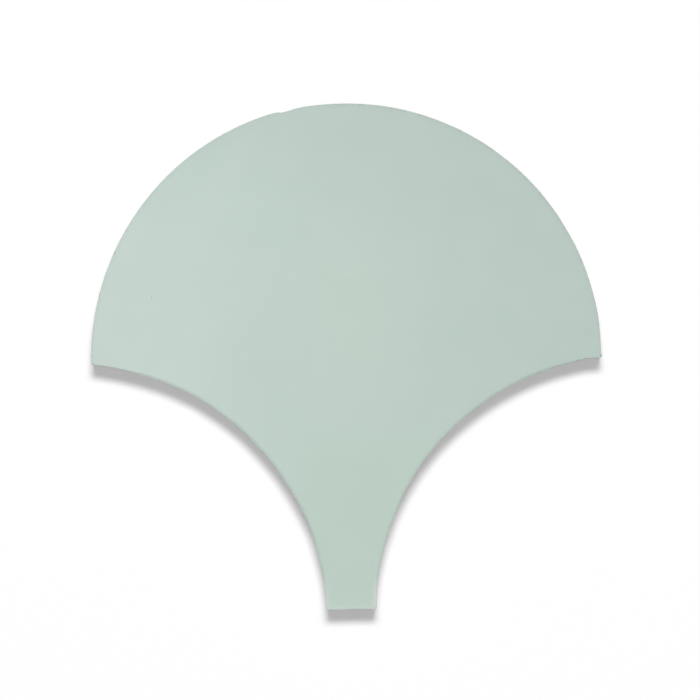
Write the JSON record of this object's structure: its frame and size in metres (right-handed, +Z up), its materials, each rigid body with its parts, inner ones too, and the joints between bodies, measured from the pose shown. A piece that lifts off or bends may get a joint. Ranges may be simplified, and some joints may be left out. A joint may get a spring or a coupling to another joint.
{
  "type": "fish scale tile",
  "caption": "Fan-shaped cement tile: half-round head, hollow flanks that nest round the neighbouring heads, and a short flat foot. Covers walls and floors.",
  "frame": {"origin": "centre of the round head's circle, on the back of the tile, which lies on the floor", "axes": "+X across the tile, +Y towards the top of the round head, +Z up and out of the face"},
  "size_m": [0.2, 0.1982, 0.016],
  "materials": {
    "pigmented_cement": "matte"
  },
  "bodies": {
    "root": {"fish_scale_tile": "pigmented_cement"}
  },
  "joints": []
}
